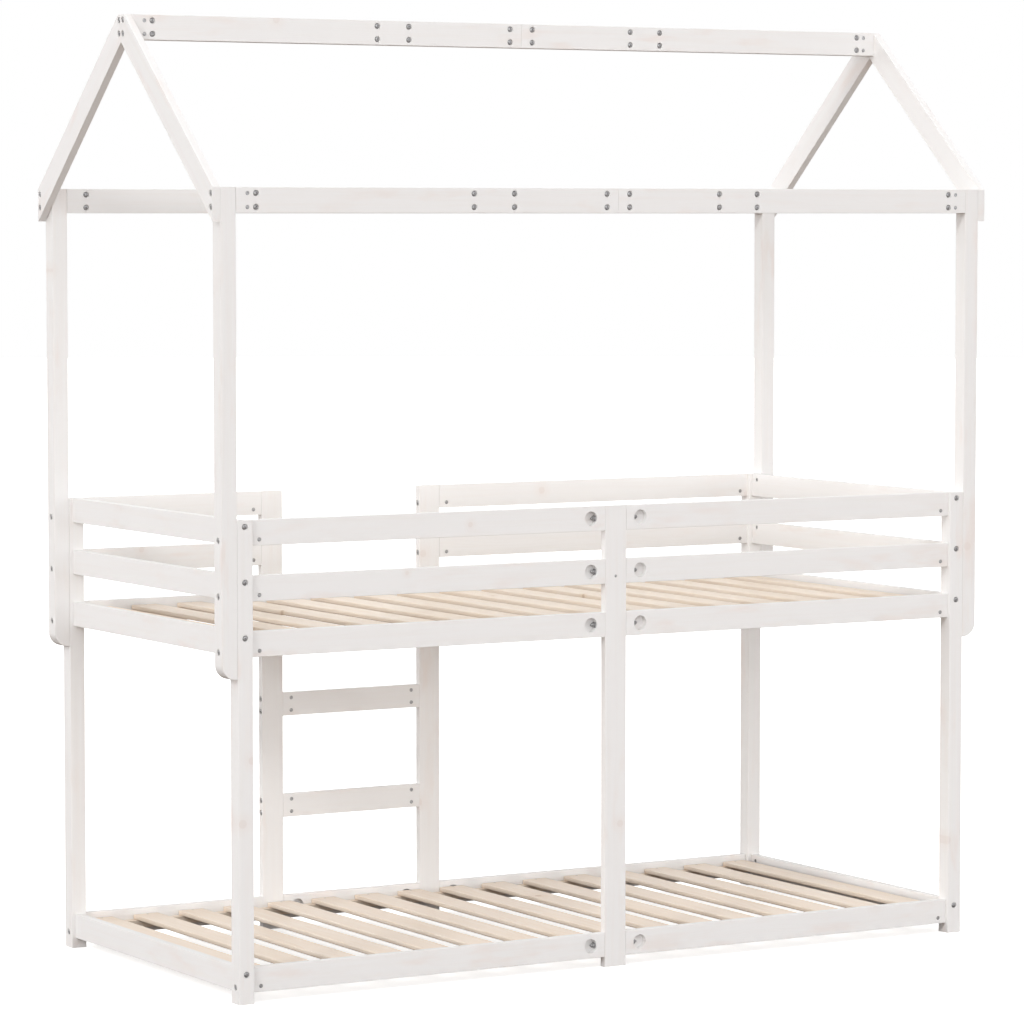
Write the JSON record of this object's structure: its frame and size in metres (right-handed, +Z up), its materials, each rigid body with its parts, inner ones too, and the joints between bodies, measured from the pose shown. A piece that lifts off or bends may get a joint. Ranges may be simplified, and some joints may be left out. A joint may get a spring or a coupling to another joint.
{
  "type": "bunk bed with ladder",
  "caption": "House-frame bunk bed of painted pine: slatted sleeping decks one above the other, guard rails round the upper one, a ladder built into the back side and an open pitched roof frame.",
  "frame": {"origin": "on the floor under the middle of the bed, midway between its ends and between its long sides", "axes": "+X along the bed to the right as seen from its front, -Y out of the front side that has no ladder, +Z up"},
  "size_m": [2.1797, 0.9597, 2.2998],
  "materials": {
    "white_pine": "thin matt white paint over pine, faint grain and knots showing",
    "bare_pine": "bare planed pine"
  },
  "bodies": {
    "root": {"back_bed_rail_left": "white_pine", "back_bed_rail_middle": "white_pine", "back_bed_rail_right": "white_pine", "back_eave_inner_left": "white_pine", "back_eave_inner_middle": "white_pine", "back_eave_inner_right": "white_pine", "back_eave_outer_left": "white_pine", "back_eave_outer_right": "white_pine", "back_floor_rail_left": "white_pine", "back_floor_rail_middle": "white_pine", "back_floor_rail_right": "white_pine", "back_mid_guard_left": "white_pine", "back_mid_guard_right": "white_pine", "back_top_guard_left": "white_pine", "back_top_guard_right": "white_pine", "front_bed_rail_left": "white_pine", "front_bed_rail_right": "white_pine", "front_centre_post": "white_pine", "front_eave_inner_left": "white_pine", "front_eave_inner_middle": "white_pine", "front_eave_inner_right": "white_pine", "front_eave_outer_left": "white_pine", "front_eave_outer_right": "white_pine", "front_floor_rail_left": "white_pine", "front_floor_rail_right": "white_pine", "front_mid_guard_left": "white_pine", "front_mid_guard_right": "white_pine", "front_top_guard_left": "white_pine", "front_top_guard_right": "white_pine", "ladder_rung_lower": "white_pine", "ladder_rung_upper": "white_pine", "ladder_upright_left": "white_pine", "ladder_upright_right": "white_pine", "left_end_bed_rail": "white_pine", "left_end_floor_rail": "white_pine", "left_end_mid_guard": "white_pine", "left_end_top_guard": "white_pine", "post_back_left": "white_pine", "post_back_right": "white_pine", "post_front_left": "white_pine", "post_front_right": "white_pine", "rafter_back_left": "white_pine", "rafter_back_right": "white_pine", "rafter_front_left": "white_pine", "rafter_front_right": "white_pine", "ridge_inner_left": "white_pine", "ridge_inner_middle": "white_pine", "ridge_inner_right": "white_pine", "ridge_outer_left": "white_pine", "ridge_outer_right": "white_pine", "right_end_bed_rail": "white_pine", "right_end_floor_rail": "white_pine", "right_end_mid_guard": "white_pine", "right_end_top_guard": "white_pine", "roof_post_back_left": "white_pine", "roof_post_back_right": "white_pine", "roof_post_front_left": "white_pine", "roof_post_front_right": "white_pine", "slat_deck_lower": "bare_pine", "slat_deck_upper": "bare_pine"}
  },
  "joints": []
}
